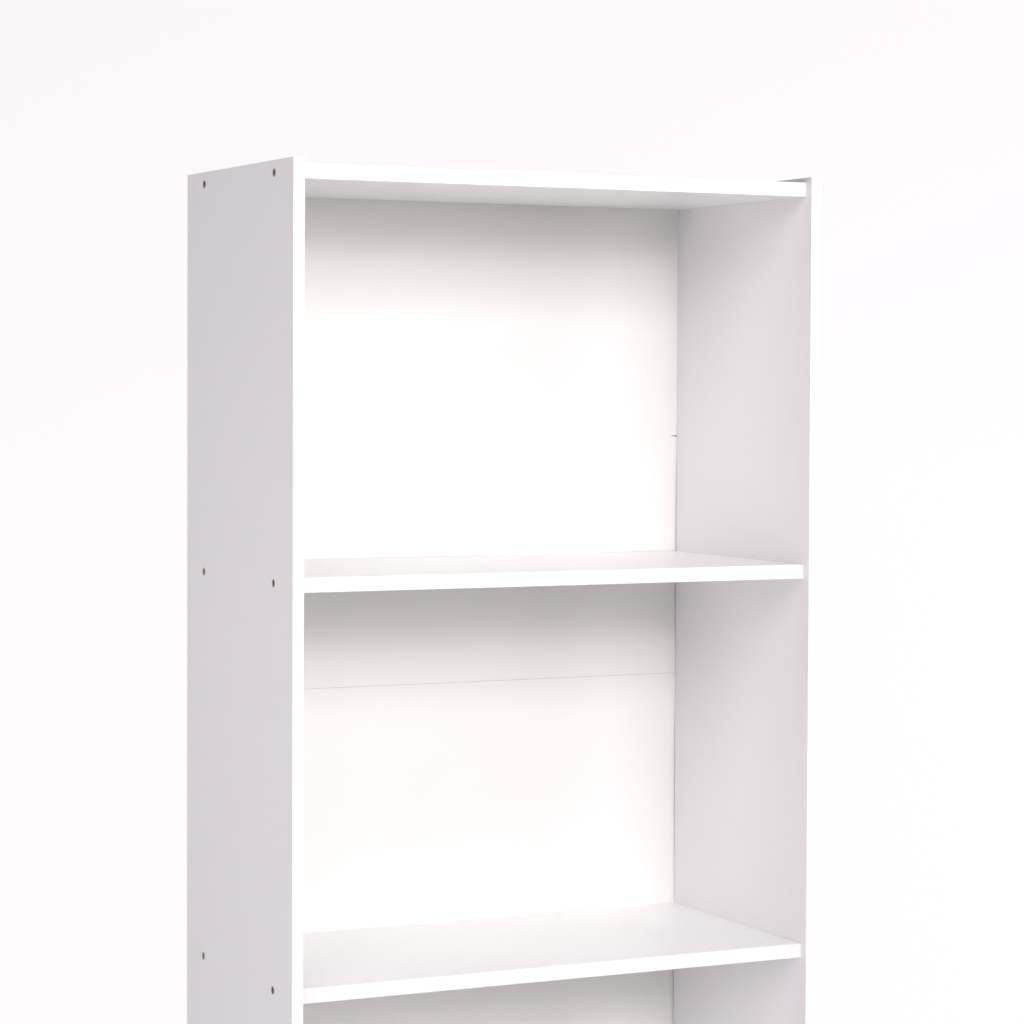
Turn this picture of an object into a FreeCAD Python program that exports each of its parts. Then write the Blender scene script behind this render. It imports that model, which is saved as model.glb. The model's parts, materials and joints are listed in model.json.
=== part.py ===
"""Open bookcase with four compartments, in millimetres.

Two side panels carry a top panel, three shelves and a bottom panel, all held by one-piece
furniture screws driven through the sides. Six thin back boards stand on each other in grooves
in the sides, with a few nails into the panels. A plinth board closes the space under the
bottom panel, and nail-on glides keep the sides off the floor.

X runs across the width, Y from the front (negative) to the back (positive), and Z up.
The origin is on the floor, under the middle of the bookcase.
"""
import FreeCAD
import Part
import math
import os

from FreeCAD import Vector

# Overall size
WIDTH = 600.0
DEPTH = 300.0
HEIGHT = 1700.0                 # floor to the top of the side panels

# Boards
SIDE_T = 12.0                   # side panels
BOARD_T = 15.0                  # top, shelves, bottom and plinth
BAND_T = 0.5                    # plastic edge band, included in the overall sizes
BAND_ROUND = 0.3                # rounding of the band's long outer edges
PANEL_PITCH = 405.0             # from the top of one panel to the top of the next
TOP_INSET = 5.0                 # the side panels stand this far above the top panel
FRONT_RECESS = 11.0             # the panels' front edges stand back from the sides' front edges
PLINTH_RECESS = 26.0
PLINTH_GAP = 1.0                # between the plinth and the floor glides' level

# Back
BACK_T = 2.5
BACK_INSET = 12.0               # from the sides' rear edges to the front face of the back
BACK_PITCH = 272.5              # one back board and the seam below it
SEAM = 0.2
# How far each board's top, middle and bottom stand back from the panels, from the top down:
# the thin boards bow in their grooves where no nail holds them
BACK_SETS = ((0, 0, 0), (0, 1.7, 0), (0, 1.3, 0), (1.6, 1.0, 0), (0, 0, 0), (0, 0, 0))
GROOVE_DEPTH = 6.0
GROOVE_WIDTH = 4.5
GROOVE_FRONT_SLACK = 0.2        # free width in the groove before the back boards
GROOVE_END_SLACK = 1.0          # between a back board's end and the groove's floor
WORN_BOARD = 1                  # the second board, counting from 0 at the top
WORN_LENGTH = 14.0              # visible length of its worn upper right corner
WORN_DROP = 1.6                 # depth of the worn corner at the side panel

# One-piece furniture screw with a hexagon socket
SCREW_FROM_EDGE = 51.0          # from the sides' front and rear edges
SCREW_SINK = 0.1                # head below the face of the side panel
HEAD_R = 4.1
HEAD_RIM = 0.9
SHANK_R = 2.3
SHANK_END = 14.0                # distance of the shank's end from the head's face
THREAD_R = 2.7
THREAD_CORE_R = 1.8
THREAD_PITCH = 3.0
THREAD_FLANK = 0.35             # share of the pitch before a ring's crest begins to rise
THREAD_CREST = (0.60, 0.75)     # the crest's ends, as shares of the pitch
SCREW_LENGTH = 49.0
TIP_LENGTH = 4.0
TIP_R = 0.4
SOCKET_ACROSS = 4.0
SOCKET_DEPTH = 3.0
HOLE_GAP = 0.05                 # radial room around the screws
HOLE_ROOM = 1.0                 # free length past the end of a screw or dowel, on either end

CUT_PAST = 2.0                  # how far a hole's tool reaches past a board's face

# Small parts
NAIL_R = 0.75
NAIL_LENGTH = 18.0
NAIL_HEAD_R = 2.5
NAIL_HEAD_T = 0.7
NAIL_TIP = 2.0
NAIL_TIP_R = 0.1
NAIL_SPACING = 160.0
NAILS_IN_ROW = 4
SEAM_NAIL_RISE = 4.0            # nails above the seam that lies behind the middle shelf
DOWEL_R = 4.0
DOWEL_LENGTH = 30.0
DOWEL_IN_PANEL = 10.0
DOWEL_X = 180.0
DOWEL_FLUTES = 10
FLUTE_R = 0.35
DOWEL_CHAMFER = 0.8
GLIDE_T = 3.0
GLIDE_LENGTH = 26.0
GLIDE_WIDTH = 11.0
GLIDE_FROM_EDGE = 30.0
GLIDE_ROUND = 0.8
PIN_R = 1.0
PIN_LENGTH = 16.0
PIN_HEAD_R = 2.2
PIN_HEAD_T = 0.6
PIN_HEAD_SINK = 1.0             # the pin's head above the glide's sole
PIN_SEAT_GAP = 0.2              # radial room around the pin's head

# Places worked out from the sizes above
FRONT = -DEPTH / 2
REAR = DEPTH / 2
INNER = WIDTH / 2 - SIDE_T      # the sides' inner faces are at X = -INNER and +INNER
TOP_Z = HEIGHT - TOP_INSET      # upper face of the top panel
BACK_Y = REAR - BACK_INSET      # front face of the back boards, rear edge of the panels
PANEL_FRONT = FRONT + FRONT_RECESS
PANEL_NAMES = ("top_panel", "upper_shelf", "middle_shelf", "lower_shelf", "bottom_panel")
PANEL_TOPS = [TOP_Z - i * PANEL_PITCH for i in range(len(PANEL_NAMES))]
PLINTH_TOP = PANEL_TOPS[-1] - BOARD_T
PLINTH_BOTTOM = GLIDE_T + PLINTH_GAP
PLINTH_FRONT = FRONT + PLINTH_RECESS
PLINTH_MID_Z = (PLINTH_TOP + PLINTH_BOTTOM) / 2
PLINTH_MID_Y = PLINTH_FRONT + BOARD_T / 2
GROOVE_FRONT = BACK_Y - GROOVE_FRONT_SLACK
GROOVE_REAR = GROOVE_FRONT + GROOVE_WIDTH
SCREW_YS = (FRONT + SCREW_FROM_EDGE, REAR - SCREW_FROM_EDGE)
SIDES = (-1, 1)                 # left and right, as seen from the front


def block(x0, x1, y0, y1, z0, z1):
    """A box between two corners."""
    return Part.makeBox(x1 - x0, y1 - y0, z1 - z0, Vector(x0, y0, z0))


def turned(profile):
    """A solid of revolution about X from (distance along X, radius) points."""
    points = [Vector(x, r, 0) for x, r in profile]
    points = [Vector(profile[0][0], 0, 0)] + points + [Vector(profile[-1][0], 0, 0)]
    face = Part.Face(Part.makePolygon(points + [points[0]]))
    return face.revolve(Vector(0, 0, 0), Vector(1, 0, 0), 360)


def placed(shape, position, axis):
    """A copy of a shape made along +X, pointed along axis and moved to position."""
    turn = FreeCAD.Rotation(Vector(1, 0, 0), axis)
    copy = shape.copy()
    copy.Placement = FreeCAD.Placement(position, turn)
    return copy


def cut_all(shape, tools):
    """The shape with every tool cut away."""
    return shape.cut(Part.makeCompound(tools)).Solids[0]


def hexagon(across, depth):
    """A hexagonal prism along +X, for a socket."""
    radius = across / math.sqrt(3)
    corners = [math.radians(60 * i) for i in range(7)]
    outline = [Vector(0, radius * math.cos(a), radius * math.sin(a)) for a in corners]
    return Part.Face(Part.makePolygon(outline)).extrude(Vector(depth, 0, 0))


# ---- Furniture screws, made along +X with the head's face at X = 0 ----

def screw_profile():
    """Half outline of the screw: rim, countersunk head, shank, thread rings and tip."""
    cone = HEAD_R - SHANK_R
    outline = [(0, HEAD_R), (HEAD_RIM, HEAD_R), (HEAD_RIM + cone, SHANK_R), (SHANK_END, SHANK_R)]
    thread_end = SCREW_LENGTH - TIP_LENGTH
    x = SHANK_END
    outline.append((x, THREAD_CORE_R))
    while x + THREAD_PITCH <= thread_end:
        outline += [
            (x + THREAD_FLANK * THREAD_PITCH, THREAD_CORE_R),
            (x + THREAD_CREST[0] * THREAD_PITCH, THREAD_R),
            (x + THREAD_CREST[1] * THREAD_PITCH, THREAD_R),
            (x + THREAD_PITCH, THREAD_CORE_R),
        ]
        x += THREAD_PITCH
    outline += [(thread_end, THREAD_CORE_R), (SCREW_LENGTH, TIP_R)]
    return outline


def furniture_screw():
    socket = hexagon(SOCKET_ACROSS, SOCKET_DEPTH)
    return turned(screw_profile()).cut(socket).Solids[0]


def side_hole():
    """Tool for the stepped hole in a side panel, from outside the face to inside the case."""
    cone = HEAD_R - SHANK_R
    wide = HEAD_R + HOLE_GAP
    narrow = SHANK_R + HOLE_GAP
    past = SIDE_T + CUT_PAST
    return turned([(-CUT_PAST, wide), (HEAD_RIM, wide), (HEAD_RIM + cone, narrow), (past, narrow)])


def board_hole():
    """Tool for the blind hole in a board's end."""
    radius = THREAD_R + HOLE_GAP
    return turned([(SIDE_T - SCREW_SINK - HOLE_ROOM, radius), (SCREW_LENGTH + HOLE_ROOM, radius)])


def panel_screw_spots(top_z):
    """Head centre and direction of the four screws that hold one panel."""
    z = top_z - BOARD_T / 2
    return [(side, y, z) for side in SIDES for y in SCREW_YS]


def plinth_screw_spots():
    return [(side, PLINTH_MID_Y, PLINTH_MID_Z) for side in SIDES]


def all_screw_spots():
    spots = plinth_screw_spots()
    for top_z in PANEL_TOPS:
        spots += panel_screw_spots(top_z)
    return spots


def at_spot(shape, spot):
    """Puts a screw, or a hole tool made like one, at a spot on a side panel."""
    side, y, z = spot
    head = Vector(side * (WIDTH / 2 - SCREW_SINK), y, z)
    return placed(shape, head, Vector(-side, 0, 0))


# ---- Nails, dowels and pins ----

def nail():
    """Round flat-headed nail along +X, its head's underside at X = 0."""
    neck = NAIL_LENGTH - NAIL_TIP
    return turned([(-NAIL_HEAD_T, NAIL_HEAD_R), (0, NAIL_HEAD_R), (0, NAIL_R), (neck, NAIL_R),
                   (NAIL_LENGTH, NAIL_TIP_R)])


def nail_spots():
    """Rows of nails that hold the top board, the third board's lower edge and the last board."""
    third_seam_z = TOP_Z - 3 * BACK_PITCH
    rows = (PANEL_TOPS[0] - BOARD_T / 2, third_seam_z + SEAM_NAIL_RISE, PANEL_TOPS[-1] - BOARD_T / 2)
    first_x = -NAIL_SPACING * (NAILS_IN_ROW - 1) / 2
    xs = [first_x + i * NAIL_SPACING for i in range(NAILS_IN_ROW)]
    return [Vector(x, BACK_Y + BACK_T, z) for z in rows for x in xs]


def nails():
    return [placed(nail(), spot, Vector(0, -1, 0)) for spot in nail_spots()]


def nail_tools():
    """Holes for the nails, with a seat for the head where a bowed board stands proud."""
    tool = turned([(-CUT_PAST, NAIL_HEAD_R), (0, NAIL_HEAD_R), (0, NAIL_R), (NAIL_LENGTH, NAIL_R)])
    return [placed(tool, spot, Vector(0, -1, 0)) for spot in nail_spots()]


def dowel():
    """Fluted dowel along +Z with its foot at the origin."""
    body = Part.makeCylinder(DOWEL_R, DOWEL_LENGTH)
    ends = [e for e in body.Edges if isinstance(e.Curve, Part.Circle)]
    body = body.makeChamfer(DOWEL_CHAMFER, ends)
    flutes = []
    for i in range(DOWEL_FLUTES):
        angle = 2 * math.pi * i / DOWEL_FLUTES
        centre = Vector(DOWEL_R * math.cos(angle), DOWEL_R * math.sin(angle), -1)
        flutes.append(Part.makeCylinder(FLUTE_R, DOWEL_LENGTH + 2, centre))
    return cut_all(body, flutes)


def dowel_spots():
    foot = PLINTH_TOP - (DOWEL_LENGTH - DOWEL_IN_PANEL)
    return [Vector(x, PLINTH_MID_Y, foot) for x in (-DOWEL_X, DOWEL_X)]


def dowel_tools():
    """Holes with some room for glue past each end of the dowels."""
    length = DOWEL_LENGTH + 2 * HOLE_ROOM
    return [Part.makeCylinder(DOWEL_R, length, spot - Vector(0, 0, HOLE_ROOM)) for spot in dowel_spots()]


def glide_spots():
    """Centres of the glides' soles under the side panels."""
    x = WIDTH / 2 - SIDE_T / 2
    y = DEPTH / 2 - GLIDE_FROM_EDGE
    return [Vector(side * x, end * y, 0) for side in SIDES for end in (-1, 1)]


def glide_pin():
    """Pin along +X, driven up through a glide, its head's face at X = 0."""
    neck = PIN_LENGTH - NAIL_TIP
    return turned([(0, PIN_HEAD_R), (PIN_HEAD_T, PIN_HEAD_R), (PIN_HEAD_T, PIN_R), (neck, PIN_R),
                   (PIN_LENGTH, NAIL_TIP_R)])


def glide_pins():
    up = Vector(0, 0, 1)
    return [placed(glide_pin(), spot + up * PIN_HEAD_SINK, up) for spot in glide_spots()]


def pin_tools():
    """Pilot holes in the side panels' lower edges."""
    tool = turned([(0, PIN_R), (PIN_LENGTH, PIN_R)])
    up = Vector(0, 0, 1)
    return [placed(tool, spot + up * PIN_HEAD_SINK, up) for spot in glide_spots()]


def glide():
    """Oblong moulded glide, its sole centred on the origin, with a sunk seat for the pin."""
    half = (GLIDE_LENGTH - GLIDE_WIDTH) / 2
    radius = GLIDE_WIDTH / 2
    body = block(-radius, radius, -half, half, 0, GLIDE_T)
    for y in (-half, half):
        body = body.fuse(Part.makeCylinder(radius, GLIDE_T, Vector(0, y, 0)))
    body = body.removeSplitter()
    sole = [e for e in body.Edges if e.BoundBox.ZMax < 0.01]
    body = body.makeFillet(GLIDE_ROUND, sole)
    seat = Part.makeCylinder(PIN_HEAD_R + PIN_SEAT_GAP, PIN_HEAD_SINK + PIN_HEAD_T)
    hole = Part.makeCylinder(PIN_R, GLIDE_T)
    return cut_all(body, [seat, hole])


# ---- Boards ----

def side_panel(side):
    """Side panel with its groove for the back and all its holes. The front and upper edges
    leave room for their bands."""
    inner, outer = sorted((side * INNER, side * WIDTH / 2))
    body = block(inner, outer, FRONT + BAND_T, REAR, GLIDE_T, HEIGHT - BAND_T)
    groove_inner, groove_floor = sorted((side * INNER, side * (INNER + GROOVE_DEPTH)))
    groove = block(groove_inner, groove_floor, GROOVE_FRONT, GROOVE_REAR, 0, HEIGHT)
    holes = [at_spot(side_hole(), spot) for spot in all_screw_spots() if spot[0] == side]
    return cut_all(body, [groove] + holes + pin_tools())


def panel(top_z):
    """Top panel, shelf or bottom panel, with screw holes in its ends and nail holes behind."""
    body = block(-INNER, INNER, PANEL_FRONT + BAND_T, BACK_Y, top_z - BOARD_T, top_z)
    tools = [at_spot(board_hole(), spot) for spot in panel_screw_spots(top_z)]
    tools += nail_tools()
    if top_z == PANEL_TOPS[-1]:
        tools += dowel_tools()
    return cut_all(body, tools)


def plinth():
    body = block(-INNER, INNER, PLINTH_FRONT, PLINTH_FRONT + BOARD_T, PLINTH_BOTTOM, PLINTH_TOP)
    tools = [at_spot(board_hole(), spot) for spot in plinth_screw_spots()]
    return cut_all(body, tools + dowel_tools())


def rounded_band(body, outward):
    """Rounds the two long edges on the band's outer face, which looks along outward."""
    long_edges = []
    for edge in body.Edges:
        middle = edge.BoundBox.Center - body.BoundBox.Center
        half = body.BoundBox.YLength / 2 if outward.y else body.BoundBox.ZLength / 2
        on_outer_face = abs(middle.dot(outward) - half) < 1e-6
        if on_outer_face and edge.Length > 2 * BOARD_T:
            long_edges.append(edge)
    return body.makeFillet(BAND_ROUND, long_edges)


def panel_band(top_z):
    """Edge band on the front edge of a panel."""
    band = block(-INNER, INNER, PANEL_FRONT, PANEL_FRONT + BAND_T, top_z - BOARD_T, top_z)
    return rounded_band(band, Vector(0, -1, 0))


def side_bands(side):
    """Front band and top band of a side panel, the front one covering the top one's end."""
    inner, outer = sorted((side * INNER, side * WIDTH / 2))
    front = block(inner, outer, FRONT, FRONT + BAND_T, GLIDE_T, HEIGHT)
    top = block(inner, outer, FRONT + BAND_T, REAR, HEIGHT - BAND_T, HEIGHT)
    groove_inner, groove_floor = sorted((side * INNER, side * (INNER + GROOVE_DEPTH)))
    groove = block(groove_inner, groove_floor, GROOVE_FRONT, GROOVE_REAR, 0, HEIGHT + 1)
    front = rounded_band(front, Vector(0, -1, 0))
    top = rounded_band(top, Vector(0, 0, 1))
    return [front, cut_all(top, [groove])]


def board_face_line(number, shift):
    """Upright line or shallow arc in a back board's face, shift behind its front face."""
    top_z = TOP_Z - number * BACK_PITCH
    bottom_z = top_z - BACK_PITCH + SEAM
    heights = (top_z, (top_z + bottom_z) / 2, bottom_z)
    y = BACK_Y + shift
    top, middle, bottom = [Vector(0, y + back, z) for back, z in zip(BACK_SETS[number], heights)]
    if abs(middle.y - (top.y + bottom.y) / 2) < 0.001:
        return Part.LineSegment(top, bottom).toShape()
    return Part.Arc(top, middle, bottom).toShape()


def back_board(number):
    """One back board, counted from 0 at the top."""
    reach = INNER + GROOVE_DEPTH - GROOVE_END_SLACK
    front = board_face_line(number, 0)
    rear = board_face_line(number, BACK_T)
    ends = [Part.LineSegment(front.Vertexes[i].Point, rear.Vertexes[i].Point).toShape() for i in (0, 1)]
    outline = Part.Wire([front, ends[1], rear, ends[0]])
    body = Part.Face(outline).extrude(Vector(2 * reach, 0, 0)).translated(Vector(-reach, 0, 0))
    tools = nail_tools()
    if number == WORN_BOARD:
        tools.append(worn_corner(TOP_Z - number * BACK_PITCH, reach))
    return cut_all(body, tools)


def worn_corner(top_z, reach):
    """Wedge that leaves the seam above open towards the side panel."""
    start = INNER - WORN_LENGTH
    drop = WORN_DROP * (reach - start) / WORN_LENGTH
    corners = [Vector(start, BACK_Y - 1, top_z), Vector(reach + 1, BACK_Y - 1, top_z),
               Vector(reach + 1, BACK_Y - 1, top_z - drop), Vector(start, BACK_Y - 1, top_z)]
    return Part.Face(Part.makePolygon(corners)).extrude(Vector(0, BACK_T + 2, 0))


# ---- Output ----

def build():
    """Every sub-part as node name to its list of solids."""
    screw = furniture_screw()
    nodes = {
        "left_side_panel": [side_panel(-1)],
        "right_side_panel": [side_panel(1)],
        "left_side_edge_bands": side_bands(-1),
        "right_side_edge_bands": side_bands(1),
        "plinth_board": [plinth()],
        "plinth_dowels": [dowel().translated(spot) for spot in dowel_spots()],
        "plinth_screws": [at_spot(screw, spot) for spot in plinth_screw_spots()],
        "back_nails": nails(),
        "floor_glides": [glide().translated(spot) for spot in glide_spots()],
        "glide_pins": glide_pins(),
    }
    for name, top_z in zip(PANEL_NAMES, PANEL_TOPS):
        nodes[name] = [panel(top_z)]
        nodes[name + "_edge_band"] = [panel_band(top_z)]
        nodes[name + "_screws"] = [at_spot(screw, spot) for spot in panel_screw_spots(top_z)]
    for number in range(len(BACK_SETS)):
        nodes["back_board_%d" % (number + 1)] = [back_board(number)]
    return nodes


def save(nodes):
    os.makedirs("parts", exist_ok=True)
    for name, solids in sorted(nodes.items()):
        shape = solids[0] if len(solids) == 1 else Part.makeCompound(solids)
        shape.exportStep("parts/%s.step" % name)
        volume = sum(solid.Volume for solid in solids) / 1000
        print("%-26s %2d solids %10.2f cm3 %s" % (name, len(solids), volume, shape.isValid()))


save(build())
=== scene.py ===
"""Looks of the white bookcase: materials, soft edges, plain studio and camera, in metres."""
import json
import math

import bpy
from mathutils import Matrix, Vector


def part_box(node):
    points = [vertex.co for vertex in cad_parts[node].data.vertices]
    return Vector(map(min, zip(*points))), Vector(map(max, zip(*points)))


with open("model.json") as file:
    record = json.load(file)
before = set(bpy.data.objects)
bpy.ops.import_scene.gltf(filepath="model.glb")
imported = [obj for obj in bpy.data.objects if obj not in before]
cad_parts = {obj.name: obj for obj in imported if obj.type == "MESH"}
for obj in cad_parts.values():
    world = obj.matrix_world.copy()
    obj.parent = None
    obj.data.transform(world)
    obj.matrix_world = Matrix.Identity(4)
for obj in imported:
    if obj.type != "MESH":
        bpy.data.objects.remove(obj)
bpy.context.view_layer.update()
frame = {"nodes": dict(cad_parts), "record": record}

NODES = frame["nodes"]
MM = 0.001


# ---- Places and sizes read from the frame ----

RIGHT_LOW, RIGHT_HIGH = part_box("right_side_panel")
INNER_X = RIGHT_LOW.x                       # inner face of the right side panel
OUTER_X = RIGHT_HIGH.x


# ---- Shader building blocks ----

GRAIN_LOW, GRAIN_HIGH = 0.3, 0.7            # nearly all values of a noise texture lie between these


class Nodes:
    """Short calls for building one material's node tree."""

    def __init__(self, name):
        self.material = bpy.data.materials.new(name)
        self.material.use_nodes = True
        self.tree = self.material.node_tree
        self.tree.nodes.clear()
        self.output = self.tree.nodes.new("ShaderNodeOutputMaterial")
        self.surface = self.tree.nodes.new("ShaderNodeBsdfPrincipled")
        self.link(self.surface.outputs[0], self.output.inputs[0])

    def link(self, source, target):
        self.tree.links.new(source, target)

    def put(self, value, socket):
        """A socket is linked, and anything else is set as the value."""
        if isinstance(value, bpy.types.NodeSocket):
            self.link(value, socket)
        else:
            socket.default_value = value

    def node(self, kind, **settings):
        made = self.tree.nodes.new(kind)
        for key, value in settings.items():
            setattr(made, key, value)
        return made

    def math(self, operation, a, b=0.0, clamp=False):
        made = self.node("ShaderNodeMath", operation=operation, use_clamp=clamp)
        self.put(a, made.inputs[0])
        self.put(b, made.inputs[1])
        return made.outputs[0]

    def remap(self, value, low, high, to_low=0.0, to_high=1.0):
        made = self.node("ShaderNodeMapRange")
        self.put(value, made.inputs["Value"])
        for key, number in (("From Min", low), ("From Max", high), ("To Min", to_low), ("To Max", to_high)):
            self.put(number, made.inputs[key])
        return made.outputs["Result"]

    def spread(self, grain, to_low=0.0, to_high=1.0):
        """Grain values keep to a middle range. Here they fill the range from to_low to to_high."""
        return self.remap(grain, GRAIN_LOW, GRAIN_HIGH, to_low, to_high)

    def mix(self, factor, a, b):
        """Colour between a and b."""
        made = self.node("ShaderNodeMix", data_type="RGBA")
        self.put(factor, made.inputs["Factor"])
        self.put(a, made.inputs[6])
        self.put(b, made.inputs[7])
        return made.outputs[2]

    def coordinates(self, which="Object"):
        return self.node("ShaderNodeTexCoord").outputs[which]

    def parts(self, vector):
        """The X, Y and Z of a vector."""
        made = self.node("ShaderNodeSeparateXYZ")
        self.put(vector, made.inputs[0])
        return made.outputs[0], made.outputs[1], made.outputs[2]

    def scaled(self, vector, scale):
        """The vector with each part multiplied."""
        made = self.node("ShaderNodeMapping")
        self.put(vector, made.inputs["Vector"])
        made.inputs["Scale"].default_value = scale
        return made.outputs[0]

    def noise(self, vector, scale, detail=2.0, roughness=0.5):
        made = self.node("ShaderNodeTexNoise")
        self.put(vector, made.inputs["Vector"])
        made.inputs["Scale"].default_value = scale
        made.inputs["Detail"].default_value = detail
        made.inputs["Roughness"].default_value = roughness
        return made.outputs["Fac"]

    def cells(self, vector, scale, feature="F1", output="Distance"):
        made = self.node("ShaderNodeTexVoronoi", feature=feature)
        self.put(vector, made.inputs["Vector"])
        made.inputs["Scale"].default_value = scale
        return made.outputs[output]

    def bump(self, height, distance, strength):
        made = self.node("ShaderNodeBump")
        self.put(height, made.inputs["Height"])
        made.inputs["Distance"].default_value = distance
        made.inputs["Strength"].default_value = strength
        return made.outputs[0]

    def finish(self, color, roughness, normal=None, metallic=0.0, specular=0.5):
        self.put(color, self.surface.inputs["Base Color"])
        self.put(roughness, self.surface.inputs["Roughness"])
        self.surface.inputs["Metallic"].default_value = metallic
        self.surface.inputs["Specular IOR Level"].default_value = specular
        if normal is not None:
            self.put(normal, self.surface.inputs["Normal"])
        return self.material


def gray(value, warm=0.0):
    """An opaque near-neutral linear colour. A positive warm leans to yellow."""
    return (value * (1 + warm), value, value * (1 - warm), 1.0)


# ---- Materials ----
# Numbers of grains and cells are counts per metre.

FLAKES = 420.0
FLAKE_GRAIN = 900.0
FLAKE_DARK = (0.30, 0.19, 0.105, 1.0)
FLAKE_MIDDLE = (0.52, 0.37, 0.22, 1.0)
FLAKE_PALE = (0.62, 0.49, 0.33, 1.0)

# The sides and the shelves are the same white laminate. The sides' copy is painted a little darker and more
# lilac, as painted shade. The shelves' copy, also used on the plinth, is painted lighter, as painted light.
SIDE_WHITE_PAINTED_SHADE = (0.80, 0.787, 0.805, 1.0)
SHELF_WHITE_PAINTED_LIGHT = (0.885, 0.885, 0.88, 1.0)
PORES = 1500.0                              # the laminate's fine pressed texture
PEBBLE = 900.0
PRESSED_DEPTH = 0.05 * MM
EDGE_ROUGHER = 0.4                          # a cut edge is this much rougher than the laminate
FACING = 0.9                                # how squarely a face with laminate looks along its axis
FACE_SLACK = 0.1 * MM                       # and how near it lies to its given distance

PAINT_DARK = (0.86, 0.848, 0.828, 1.0)      # the white paint in front
PAINT_PALE = (0.88, 0.868, 0.848, 1.0)
FIBRE_DARK = (0.16, 0.085, 0.042, 1.0)
FIBRE_PALE = (0.33, 0.20, 0.11, 1.0)
FIBRE_BLOTCH = (0.24, 0.15, 0.085, 1.0)
MESH_STEP = 2.2 * MM                        # of the pattern pressed into the hardboard's rear


def chipboard(n, position):
    """Colour and height of a raw chipboard edge: pressed flakes in several browns."""
    flakes = n.cells(position, FLAKES, output="Color")
    tone, _, _ = n.parts(flakes)
    fine = n.noise(position, FLAKE_GRAIN, detail=3.0)
    color = n.mix(tone, FLAKE_DARK, FLAKE_MIDDLE)
    color = n.mix(n.remap(fine, 0.35, 0.75), color, FLAKE_PALE)
    return color, n.math("ADD", tone, fine)


def melamine(name, face_axis, white, roughness, faces=None):
    """White laminated board. The two faces square to face_axis carry the laminate, whose surface has
    a fine pressed texture, and the cut edges show raw chipboard.
    faces gives the distances from the origin along that axis at which laminate may lie."""
    n = Nodes(name)
    position = n.coordinates()
    normal_parts = n.parts(n.coordinates("Normal"))
    place_parts = n.parts(position)
    facing = n.math("GREATER_THAN", n.math("ABSOLUTE", normal_parts[face_axis]), FACING)
    if faces:
        distance = n.math("ABSOLUTE", place_parts[face_axis])
        low = n.math("LESS_THAN", distance, faces[0] + FACE_SLACK)
        high = n.math("GREATER_THAN", distance, faces[1] - FACE_SLACK)
        facing = n.math("MULTIPLY", facing, n.math("MAXIMUM", low, high))

    pores = n.noise(position, PORES, detail=2.0, roughness=0.6)
    pebble = n.cells(position, PEBBLE, feature="SMOOTH_F1")
    cloud = n.noise(position, 3.0, detail=3.0)
    tint = n.spread(cloud, 0.985, 1.0)
    laminate = n.mix(tint, (white[0] * 0.97, white[1] * 0.97, white[2] * 0.975, 1.0), white)
    raw, raw_height = chipboard(n, position)
    color = n.mix(facing, raw, laminate)
    cut = n.math("SUBTRACT", 1.0, facing)
    rough = n.math("ADD", n.math("MULTIPLY", cut, EDGE_ROUGHER),
                   n.spread(pores, roughness - 0.04, roughness + 0.05), clamp=True)
    height = n.math("ADD", n.math("MULTIPLY", pores, 0.6), n.math("MULTIPLY", pebble, 0.4))
    height = n.math("ADD", n.math("MULTIPLY", height, facing), n.math("MULTIPLY", cut, raw_height))
    return n.finish(color, rough, n.bump(height, PRESSED_DEPTH, 0.6), specular=0.45)


def edge_band():
    """Smooth white plastic band with a faint drawn texture along its length."""
    n = Nodes("edge_band_plastic")
    position = n.coordinates()
    fine = n.noise(position, 700.0, detail=2.0)
    color = n.mix(n.spread(n.noise(position, 8.0)), gray(0.80), gray(0.83))
    rough = n.spread(fine, 0.36, 0.46)
    return n.finish(color, rough, n.bump(fine, 0.01 * MM, 0.5), specular=0.45)


def hardboard():
    """Thin hardboard: white paint in front, and pressed brown fibre with a mesh pattern behind."""
    n = Nodes("painted_hardboard")
    position = n.coordinates()
    _, normal_y, _ = n.parts(n.coordinates("Normal"))
    front = n.math("LESS_THAN", normal_y, -0.5)
    back = n.math("GREATER_THAN", normal_y, 0.5)
    x, _, z = n.parts(position)

    pores = n.noise(position, 1200.0, detail=2.0)
    paint = n.mix(n.spread(n.noise(position, 2.5)), PAINT_DARK, PAINT_PALE)
    fibre = n.noise(n.scaled(position, (1.0, 1.0, 2.5)), 260.0, detail=5.0, roughness=0.7)
    blotch = n.noise(position, 9.0, detail=3.0)
    brown = n.mix(n.spread(fibre), FIBRE_DARK, FIBRE_PALE)
    brown = n.mix(n.remap(blotch, 0.3, 0.8, 0.0, 0.35), brown, FIBRE_BLOTCH)

    waves = [n.math("SINE", n.math("MULTIPLY", along, math.tau / MESH_STEP)) for along in (x, z)]
    mesh = n.math("MULTIPLY", n.math("ADD", waves[0], waves[1]), 0.25)
    brown_height = n.math("ADD", fibre, n.math("MULTIPLY", mesh, back))
    height = n.math("ADD", n.math("MULTIPLY", pores, front),
                    n.math("MULTIPLY", brown_height, n.math("SUBTRACT", 1.0, front)))
    rough = n.remap(front, 0.0, 1.0, 0.82, 0.5)
    return n.finish(n.mix(front, brown, paint), rough, n.bump(height, 0.12 * MM, 0.6), specular=0.4)


def zinc():
    """Yellow-passivated zinc on steel, cloudy and dull. The passivation turns from olive to a
    purplish brown from one screw to the next."""
    n = Nodes("yellow_zinc")
    position = n.coordinates()
    cloud = n.noise(position, 260.0, detail=4.0, roughness=0.6)
    scratches = n.noise(n.scaled(position, (1.0, 6.0, 1.0)), 900.0, detail=2.0)
    olive = n.mix(n.spread(cloud), (0.36, 0.33, 0.20, 1.0), (0.54, 0.50, 0.33, 1.0))
    purple = n.mix(n.spread(cloud), (0.25, 0.19, 0.19, 1.0), (0.42, 0.33, 0.29, 1.0))
    turn = n.remap(n.noise(position, 4.3, detail=0.0), 0.47, 0.56)
    color = n.mix(turn, olive, purple)
    rough = n.spread(scratches, 0.34, 0.55)
    return n.finish(color, rough, n.bump(scratches, 0.02 * MM, 0.4), metallic=0.4)


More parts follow.
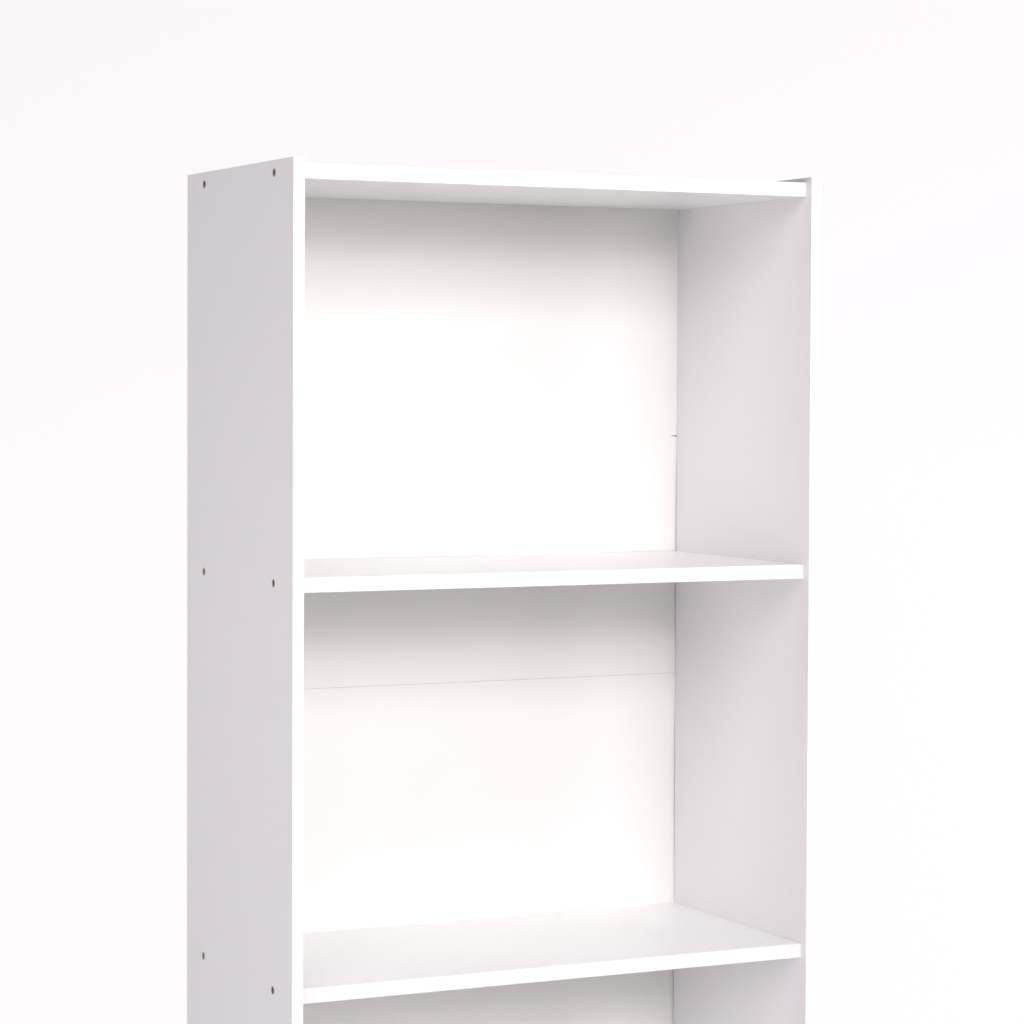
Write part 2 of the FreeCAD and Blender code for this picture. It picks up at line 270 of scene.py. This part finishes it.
def bright_steel():
    n = Nodes("bright_steel")
    position = n.coordinates()
    lines = n.noise(n.scaled(position, (1.0, 1.0, 5.0)), 800.0, detail=3.0)
    color = n.mix(n.spread(lines), gray(0.42), gray(0.58))
    return n.finish(color, n.spread(lines, 0.25, 0.42), n.bump(lines, 0.02 * MM, 0.4), metallic=1.0)


def beech():
    n = Nodes("beech")
    position = n.coordinates()
    grain = n.noise(n.scaled(position, (1.0, 1.0, 0.08)), 900.0, detail=4.0)
    flecks = n.noise(n.scaled(position, (1.0, 1.0, 0.25)), 2200.0, detail=2.0)
    color = n.mix(n.spread(grain), (0.46, 0.28, 0.15, 1.0), (0.66, 0.46, 0.28, 1.0))
    color = n.mix(n.remap(flecks, 0.6, 0.8, 0.0, 0.5), color, (0.34, 0.19, 0.10, 1.0))
    return n.finish(color, 0.6, n.bump(grain, 0.06 * MM, 0.6))


def glide_plastic():
    n = Nodes("glide_plastic")
    position = n.coordinates()
    grain = n.noise(position, 1100.0, detail=3.0)
    scuffs = n.noise(n.scaled(position, (1.0, 5.0, 1.0)), 160.0, detail=4.0)
    color = n.mix(n.remap(scuffs, 0.55, 0.8, 0.0, 0.5), gray(0.78, 0.01), gray(0.55, 0.02))
    return n.finish(color, n.spread(grain, 0.42, 0.6), n.bump(grain, 0.03 * MM, 0.5))


def paint_nodes():
    """Gives every CAD node its material."""
    by_slot = {
        "side_board": melamine("side_melamine_painted_shade", 0, SIDE_WHITE_PAINTED_SHADE, 0.48, (INNER_X, OUTER_X)),
        "edge_band": edge_band(),
        "back_hardboard": hardboard(),
        "screw_zinc": zinc(),
        "nail_steel": bright_steel(),
        "dowel_wood": beech(),
        "glide_plastic": glide_plastic(),
    }
    # The shelves and the plinth take the lighter copy of the white, with painted light. The sides take the
    # darker copy, with painted shade.
    flat = melamine("shelf_melamine_painted_light", 2, SHELF_WHITE_PAINTED_LIGHT, 0.30)
    upright = melamine("plinth_melamine_painted_light", 1, SHELF_WHITE_PAINTED_LIGHT, 0.45)
    slots = {row["node"]: row["material_slot"] for row in frame["record"]["subparts"]}
    for name, node in NODES.items():
        material = by_slot.get(slots[name], upright if name == "plinth_board" else flat)
        node.data.materials.clear()
        node.data.materials.append(material)


BOARD_BEVEL = 0.15 * MM
METAL_BEVEL = 0.12 * MM
SHARP_FROM = 40                             # degrees between two faces that count as an edge


def soften_edges():
    """Small bevels on the edges of boards, screws and nails, which catch light as real edges do."""
    for name, node in NODES.items():
        if name.endswith(("_panel", "_shelf")) or name == "plinth_board":
            width = BOARD_BEVEL
        elif name.endswith(("_screws", "_nails")):
            width = METAL_BEVEL
        else:
            continue
        bevel = node.modifiers.new("soft_edges", "BEVEL")
        bevel.width = width
        bevel.segments = 2
        bevel.limit_method = "ANGLE"
        bevel.angle_limit = math.radians(SHARP_FROM)
        bevel.use_clamp_overlap = True


# ---- Studio ----

FLOOR_SOLID = 1.6                           # the floor is whole up to this distance
FLOOR_GONE = 3.2                            # and has faded into the white world here
FLOOR_WHITE = gray(0.88)


def floor():
    """Pale floor round the bookcase that fades into the white surroundings."""
    mesh = bpy.data.meshes.new("studio_floor")
    corners = [(-FLOOR_GONE, -FLOOR_GONE, 0), (FLOOR_GONE, -FLOOR_GONE, 0),
               (FLOOR_GONE, FLOOR_GONE, 0), (-FLOOR_GONE, FLOOR_GONE, 0)]
    mesh.from_pydata(corners, [], [(0, 1, 2, 3)])
    plane = bpy.data.objects.new("studio_floor", mesh)
    bpy.context.scene.collection.objects.link(plane)
    n = Nodes("studio_floor")
    n.finish(FLOOR_WHITE, 0.9, specular=0.0)
    distance = n.node("ShaderNodeVectorMath", operation="LENGTH")
    n.link(n.coordinates(), distance.inputs[0])
    fade = n.node("ShaderNodeMapRange", interpolation_type="SMOOTHERSTEP")
    n.link(distance.outputs["Value"], fade.inputs["Value"])
    fade.inputs["From Min"].default_value = FLOOR_SOLID
    fade.inputs["From Max"].default_value = FLOOR_GONE
    gone = n.node("ShaderNodeBsdfTransparent")
    blend = n.node("ShaderNodeMixShader")
    n.link(fade.outputs["Result"], blend.inputs["Fac"])
    n.link(n.surface.outputs[0], blend.inputs[1])
    n.link(gone.outputs[0], blend.inputs[2])
    n.link(blend.outputs[0], n.output.inputs[0])
    mesh.materials.append(n.material)


STUDIO_WHITE = (1.0, 0.963, 0.982)          # the lights' colour, a touch rosy
LILAC_WHITE = (1.0, 0.950, 1.0)
# The backdrop as it is seen: its brightness, the painted light it gains to the right and the painted shade
# it loses high up
BACKDROP, BACKDROP_PAINTED_LIGHT_RIGHT, BACKDROP_PAINTED_SHADE_UP = 0.965, 0.13, -0.25
BACKDROP_TURNS = -0.03                      # upward slope at which its painted shade begins
FROM_BELOW = 0.8                            # light given back by the pale floor all round
FLOOR_GLOW = (1.0, 0.95, 0.92)              # and its colour, a little warmer than the lights


def surroundings():
    """White world: seen as a pale backdrop with painted light, lighter to the right and darker high up,
    and lighting the bookcase only from below, where a broad pale floor goes on past the modelled one."""
    world = bpy.data.worlds.new("studio")
    bpy.context.scene.world = world
    world.use_nodes = True
    tree = world.node_tree

    def calc(operation, a, b):
        made = tree.nodes.new("ShaderNodeMath")
        made.operation = operation
        for socket, value in zip(made.inputs, (a, b)):
            if isinstance(value, bpy.types.NodeSocket):
                tree.links.new(value, socket)
            else:
                socket.default_value = value
        return made.outputs[0]

    direction = tree.nodes.new("ShaderNodeSeparateXYZ")
    tree.links.new(tree.nodes.new("ShaderNodeTexCoord").outputs["Generated"], direction.inputs[0])
    to_right, _, upward = direction.outputs
    down = calc("MAXIMUM", calc("MULTIPLY", upward, -1.0), 0.0)
    given = calc("MULTIPLY", calc("POWER", down, 2.0), FROM_BELOW)
    high = calc("MAXIMUM", calc("SUBTRACT", upward, BACKDROP_TURNS), 0.0)
    # Painted light on the seen backdrop, lighter to the right, and painted shade high up.
    slope = calc("ADD", calc("MULTIPLY", to_right, BACKDROP_PAINTED_LIGHT_RIGHT), calc("MULTIPLY", high, BACKDROP_PAINTED_SHADE_UP))
    shown = calc("ADD", slope, BACKDROP)
    seen = tree.nodes.new("ShaderNodeLightPath").outputs["Is Camera Ray"]
    unseen = calc("SUBTRACT", 1.0, seen)
    level = calc("ADD", calc("MULTIPLY", seen, shown), calc("MULTIPLY", unseen, given))
    tone = tree.nodes.new("ShaderNodeMix")
    tone.data_type = "RGBA"
    tree.links.new(seen, tone.inputs["Factor"])
    tone.inputs[6].default_value = (*FLOOR_GLOW, 1.0)
    tone.inputs[7].default_value = (*STUDIO_WHITE, 1.0)
    background = tree.nodes["Background"]
    tree.links.new(tone.outputs[2], background.inputs["Color"])
    tree.links.new(level, background.inputs["Strength"])


def softbox(name, place, target, size, power, color=STUDIO_WHITE):
    light = bpy.data.lights.new(name, "AREA")
    light.shape = "RECTANGLE"
    light.size, light.size_y = size
    light.energy = power
    light.color = color
    lamp = bpy.data.objects.new(name, light)
    lamp.location = place
    lamp.rotation_euler = (Vector(target) - Vector(place)).to_track_quat("-Z", "Y").to_euler()
    lamp.visible_camera = False
    bpy.context.scene.collection.objects.link(lamp)


def lights():
    """Soft light mostly from the front, at and above the height of the bookcase. Weaker lights
    fill in from the left and right. The last three are for the rear, the top and the right side."""
    middle = (0.0, 0.0, 1.2)
    softbox("front_high", (0.0, -4.2, 3.0), middle, (3.0, 1.2), 100.0)
    softbox("front_band", (0.2, -4.6, 2.4), middle, (0.8, 0.5), 37.0)
    softbox("front_middle", (0.0, -4.5, 1.8), middle, (3.0, 1.2), 12.0)
    softbox("front_right_spot", (1.2, -4.5, 2.0), middle, (1.0, 0.4), 9.0)
    softbox("right_front", (3.2, -3.6, 1.8), middle, (2.0, 2.0), 35.0)
    softbox("right_high", (2.8, -1.6, 3.0), middle, (1.4, 1.2), 26.0)
    softbox("left_high", (-2.6, -2.8, 3.6), middle, (2.0, 2.0), 60.0)
    softbox("left_low", (-2.6, -1.2, 1.0), (-0.3, 0.0, 1.2), (1.0, 0.8), 19.5)
    softbox("left_near", (-1.7, 0.3, 1.25), (-0.3, 0.0, 1.25), (0.7, 0.7), 7.2, LILAC_WHITE)
    softbox("rear", (0.0, 3.2, 1.2), (0.0, 0.0, 1.1), (0.5, 1.6), 45.0)
    softbox("rear_high", (1.3, 0.9, 3.6), (0.2, 0.0, 1.7), (1.0, 0.8), 7.0)
    softbox("right_rear", (3.2, 1.1, 1.3), (0.3, 0.0, 1.1), (1.0, 1.2), 22.0)


# ---- Camera ----

CAMERA_PLACE = Vector((-1.3889, -2.8588, 1.4805))
CAMERA_YAW = 26.085                         # degrees to the right of +Y
CAMERA_PITCH = -1.8
CAMERA_ROLL = 0.244
LENS_WIDTHS = 2.9252                        # focal length in widths of the picture
SHIFT_DOWN = -0.0331


def camera():
    yaw, pitch, roll = (math.radians(a) for a in (CAMERA_YAW, CAMERA_PITCH, CAMERA_ROLL))
    forward = Vector((math.sin(yaw) * math.cos(pitch), math.cos(yaw) * math.cos(pitch), math.sin(pitch)))
    right = Vector((math.cos(yaw), -math.sin(yaw), 0.0))
    up = right.cross(forward)
    rolled_right = right * math.cos(roll) + up * math.sin(roll)
    rolled_up = up * math.cos(roll) - right * math.sin(roll)
    turn = Matrix((rolled_right, rolled_up, -forward)).transposed().to_4x4()
    data = bpy.data.cameras.new("camera")
    data.sensor_width = 36.0
    data.lens = LENS_WIDTHS * data.sensor_width
    data.shift_y = SHIFT_DOWN
    data.clip_end = 200.0
    lens = bpy.data.objects.new("camera", data)
    lens.matrix_world = Matrix.Translation(CAMERA_PLACE) @ turn
    bpy.context.scene.collection.objects.link(lens)
    bpy.context.scene.camera = lens


def look():
    view = bpy.context.scene.view_settings
    view.view_transform = "Standard"
    view.look = "None"
    view.exposure = 0.0


paint_nodes()
soften_edges()
floor()
surroundings()
lights()
camera()
look()
